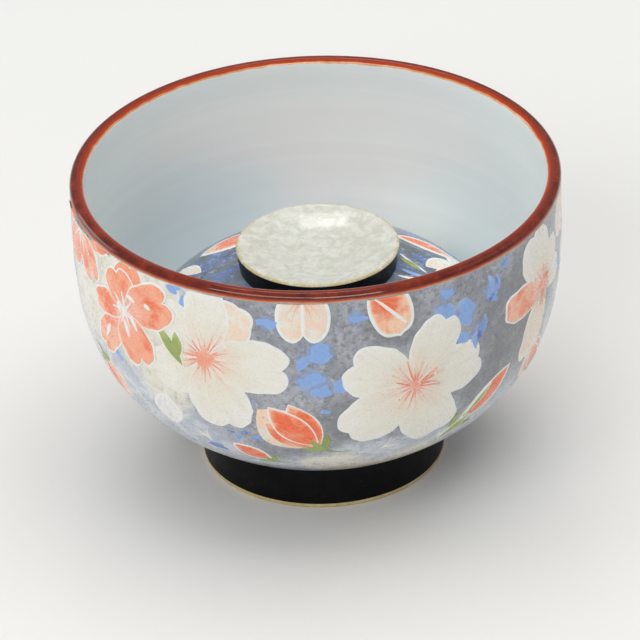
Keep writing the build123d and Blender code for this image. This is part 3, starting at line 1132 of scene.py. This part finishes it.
# Dabs: radius, stretch, tone
DABS = (
    (-0.4, 47.4, 10, 2.5, 0.66, 0.2), (-4.4, 45.4, 45, 1.5, 0.6, 0.2), (-2.2, 41.8, 12, 3.0, 0.34, 0.2),
    (-0.2, 39.2, -10, 1.5, 1.0, 0.2), (3.9, 40.2, 5, 1.4, 0.85, 0.2), (0.5, 34.6, 5, 1.0, 0.45, 0.2),
    (-23.5, 27.4, 0, 0.6, 0.8, 0.9), (-19.8, 28.0, 0, 0.7, 0.7, 0.9), (-30.0, 20.5, -10, 2.0, 0.5, 0.75),
    (-31.6, 55.0, 20, 1.3, 1.2, 0.2), (30.4, 55.4, 30, 1.2, 0.8, 0.2), (29.4, 51.6, 10, 1.9, 0.95, 0.35),
    (35.4, 50.4, 30, 2.1, 1.15, 0.35), (34.6, 44.8, -15, 1.2, 1.3, 0.3), (-12.0, 53.6, 0, 1.6, 0.6, 0.2),
    (8.6, 54.2, -14, 1.6, 0.4, 0.35), (-35.2, 57.2, -8, 1.6, 0.6, 0.2), (-56, 36.5, 0, 1.3, 0.7, 0.2),
    (79, 44, 20, 2.2, 0.8, 0.4), (84, 50, -20, 1.6, 1.1, 0.4), (113, 44, 0, 1.5, 0.9, 0.3),
    (133, 40, 25, 2.1, 0.7, 0.4), (163, 55, 5, 2.4, 0.5, 0.35), (-173, 37, 40, 2.2, 0.9, 0.3),
    (-178, 32, 0, 1.4, 0.9, 0.3), (-136, 50, -20, 1.7, 0.8, 0.45), (-113, 52, 10, 1.9, 0.5, 0.3),
    (-84, 44, 20, 1.8, 1.1, 0.4), (-88, 49, 0, 1.3, 0.8, 0.4),
)
# Curls: length, bend, tone
CURLS = (
    (41.4, 53.2, 12, 4.4, 1.6, 0.3), (42.8, 52.8, -10, 5.0, 1.9, 0.9), (44.6, 51.8, 10, 4.6, -1.4, 0.7),
    (39.6, 45.8, -14, 5.0, 0.9, 0.85), (38.6, 43.4, -8, 3.6, -0.7, 0.35), (47.6, 56.6, -40, 2.8, 0.4, 0.7),
    (-17, 26.5, 80, 2.0, 0.2, 0.8), (-22, 26.0, 80, 1.5, 0.2, 0.7), (88, 47, -20, 3.6, 1.2, 0.8),
    (141, 47, 15, 3.2, -1.0, 0.9), (-168, 51, 30, 3.4, 1.0, 0.8), (-118, 46, -10, 3.4, 1.1, 0.9),
)
# Fans of hairlines: reach
HAIRLINES = (
    (14, 21.5, -60, 5.0), (31, 20.0, -40, 4.5), (60, 30, -20, 6.0), (-30, 22, 30, 5.0), (105, 22, 20, 6.0),
    (160, 18, -20, 5.0), (-150, 24, 15, 6.0), (-78, 24, -25, 5.5),
)


bowl_surface = WallSurface([(outer_radius(z), z) for z in np.linspace(FOOT_TOP, BAND_BASE, 1200)])


def paint_bowl():
    """Blossoms, buds, loose petals, leaves and dabs all round the bowl's wall."""
    brush = Painter(bowl_surface, seed=11, over=BLOSSOM_DEPTH)
    left = brush.spot(-27.4, 44.4)
    brush.blossom(left, LEFT_WHITE)
    brush.white_heart(left, 2.0, 6.2)
    right = brush.spot(21.9, 38.1)
    brush.blossom(right, RIGHT_WHITE)
    brush.white_heart(right, 0.9, 5.8)
    far_left = brush.spot(-50.6, 48.0)
    brush.blossom(far_left, LEFT_CORAL, BLOSSOM_DEPTH)
    brush.coral_heart(far_left, 0.5, 4.6, count=7, width=0.6)
    for start, end in LEFT_CORAL_TOUCHES:
        brush.touch(far_left, start, end, 1.1, BLOSSOM_DEPTH * 2)
    far_right = brush.spot(64.4, 45.4)
    brush.blossom(far_right, RIGHT_MIXED)
    brush.white_heart(far_right, 0.8, 4.5)
    brush.draw(brush.white_blossom, WHITE_BLOSSOMS)
    brush.draw(brush.coral_blossom, CORAL_BLOSSOMS)
    brush.draw(brush.bud, BUDS)
    brush.draw(brush.loose_petal, LOOSE_PETALS)
    brush.draw(brush.leaf, LEAVES)
    brush.draw(brush.dab, DABS)
    brush.draw(brush.curl, CURLS)
    brush.draw(brush.hairlines, HAIRLINES)
    brush.ghost_bud(brush.spot(-41.5, 24.6, -2), 8.2)
    brush.pieces("bowl")


crown = dome(LID_RADIUS, LID_DOME_HEIGHT, 90, 0, 900)
crown_turned = Turned(crown)
knob_reach = float(np.interp(KNOB_BASE_RADIUS, crown_turned.r, crown_turned.s))
lid_surface = DomeSurface([p for p in crown if p[0] >= KNOB_BASE_RADIUS], knob_reach)


def paint_lid():
    """Blossoms, petals, leaves and dabs round the lid's dome, at millimetres from its crown."""
    brush = Painter(lid_surface, seed=5, over=0.0)
    brush.draw(brush.coral_blossom, ((-64, 29, 20, 9.0), (58, 30, 50, 8.5), (176, 27, 10, 9.0)))
    brush.draw(brush.white_blossom, (
        (-6, 28, 0, 9.5), (-100, 35, 30, 8.5), (98, 34.5, 40, 9.5), (150, 36, 0, 8),
    ))
    brush.draw_between(brush.slim_petal, (
        ((-144, 17.9), (-118, 25.2), 7.0, "deep coral", 0.8),
        ((128, 19.5), (112, 29.0), 3.8, "deep coral", 1.0),
        ((93, 20.5), (106, 27.5), 3.4, "white"),
        ((90, 22.5), (98, 28.0), 2.8, "white"),
        ((-98, 22.8), (-110, 28.5), 2.4, "white"),
    ))
    brush.draw_between(brush.bowed_line, (
        ((101.5, 15.7), (86, 20.4), 0.8, brush.whites, 0.4),
        ((72, 15.6), (77, 19.2), 0.7, brush.whites, 0.4),
        ((81, 15.8), (81, 20.0), 1.0, brush.dabs, 0.2),
    ))
    brush.draw(brush.loose_petal, ((-28, 20, 190, 8.0, 5.0, "peach"), (60, 18, 175, 8.0, 5.0, "peach")))
    brush.draw_between(brush.blade, (((96, 15.2), (87, 19.4), 1.5),))
    brush.draw(brush.leaf, ((30, 22, 200, 7.5), (-40, 30, 60, 7), (-165, 22, 30, 7)))
    for around, along, size in (
        (-50, 22, 1.8), (-44, 26, 1.4), (38, 34, 1.6), (145, 22, 1.9), (120, 32, 1.5), (-152, 28, 2.0),
        (12, 20, 1.5),
    ):
        brush.dab(brush.spot(around, along), size, 0.8, 0.5)
    brush.pieces("lid")


# ---- stage, lights and camera


def stage():
    """A plain pale floor that turns up into a backdrop far behind."""
    run, rise, curve, half_width = 1.6, 1.4, 0.6, 2.2
    profile = [(-run, 0.0), (run, 0.0)]
    profile += [(run + curve * sin(a), curve * (1 - cos(a))) for a in np.linspace(0.1, pi / 2, 16)]
    profile.append((run + curve, rise + curve))
    verts = [(x, y, z) for y, z in profile for x in (-half_width, half_width)]
    faces = [[2 * i, 2 * i + 1, 2 * i + 3, 2 * i + 2] for i in range(len(profile) - 1)]
    mesh = bpy.data.meshes.new("floor")
    mesh.from_pydata(verts, [], faces)
    g = Glaze("floor_paper", "DEDDDA", 0.6, specular=0.3)
    g.lay(g.noise(0.004, 2), "E4E3E0")
    mesh.materials.append(g.finish(None, [(g.noise(0.8, 3), 0.02)]))
    floor = placed("floor", mesh)


# What the lights and the camera are aimed at, in metres
AIM = (0.0, 0.0, 0.027)
# name, place and size in metres, power in watts, colour, and the rays that don't see the light
LIGHTS = (
    ("key", (-0.5, -0.9, 0.8), (0.9, 0.45), 6.3, (1.0, 0.995, 0.98), None),
    ("top", (0.05, 0.15, 1.0), (1.2, 1.0), 8.4, (1.0, 1.0, 0.99), "glossy"),
    ("front", (0.22, -1.0, 0.62), (0.6, 0.3), 5.0, (1.0, 0.99, 0.98), "diffuse"),
    ("right", (0.8, 0.1, 0.85), (0.6, 0.6), 0.5, (1.0, 1.0, 1.0), None),
    ("behind", (-0.02, 0.75, 0.8), (0.14, 0.12), 0.26, (1.0, 1.0, 1.0), None),
    ("edge", (-0.85, 0.4, 0.22), (0.5, 0.4), 1.4, (0.97, 0.99, 1.0), None),
)
WORLD_COLOUR = (0.95, 0.97, 1.0, 1.0)
WORLD_STRENGTH = 0.38
CAMERA_LENS = 303.5
CAMERA_DISTANCE = 1.003
CAMERA_ELEVATION = 31.0
CAMERA_ROLL = -1.9


def look(place):
    """Rotation that turns a light or camera from its place towards the aim."""
    return (Vector(AIM) - Vector(place)).to_track_quat("-Z", "Y")


def area_light(name, place, size, power, tint, hidden_from):
    """A soft rectangular light aimed at the object."""
    data = bpy.data.lights.new(name, "AREA")
    data.shape = "RECTANGLE"
    data.size, data.size_y = size
    data.energy = power
    data.color = tint
    lamp = placed(name, data)
    lamp.location = place
    lamp.rotation_euler = look(place).to_euler()
    lamp.visible_glossy = hidden_from != "glossy"
    lamp.visible_diffuse = hidden_from != "diffuse"


def lights_and_camera():
    """Soft light from above and from the front left, and a camera that looks down on the bowl's front."""
    for light in LIGHTS:
        area_light(*light)
    world = bpy.data.worlds.new("studio")
    world.use_nodes = True
    background = world.node_tree.nodes["Background"]
    background.inputs["Color"].default_value = WORLD_COLOUR
    background.inputs["Strength"].default_value = WORLD_STRENGTH
    bpy.context.scene.world = world
    data = bpy.data.cameras.new("camera")
    data.lens = CAMERA_LENS
    data.sensor_width = 36
    data.clip_end = 20
    camera = placed("camera", data)
    elevation = radians(CAMERA_ELEVATION)
    back, up = CAMERA_DISTANCE * cos(elevation), CAMERA_DISTANCE * sin(elevation)
    camera.location = (AIM[0], AIM[1] - back, AIM[2] + up)
    roll = Quaternion((0, 0, 1), radians(CAMERA_ROLL))
    camera.rotation_euler = (look(camera.location) @ roll).to_euler()
    bpy.context.scene.camera = camera
    bpy.context.scene.view_settings.view_transform = "Standard"


turned_parts()
paint_bowl()
paint_lid()
stage()
lights_and_camera()
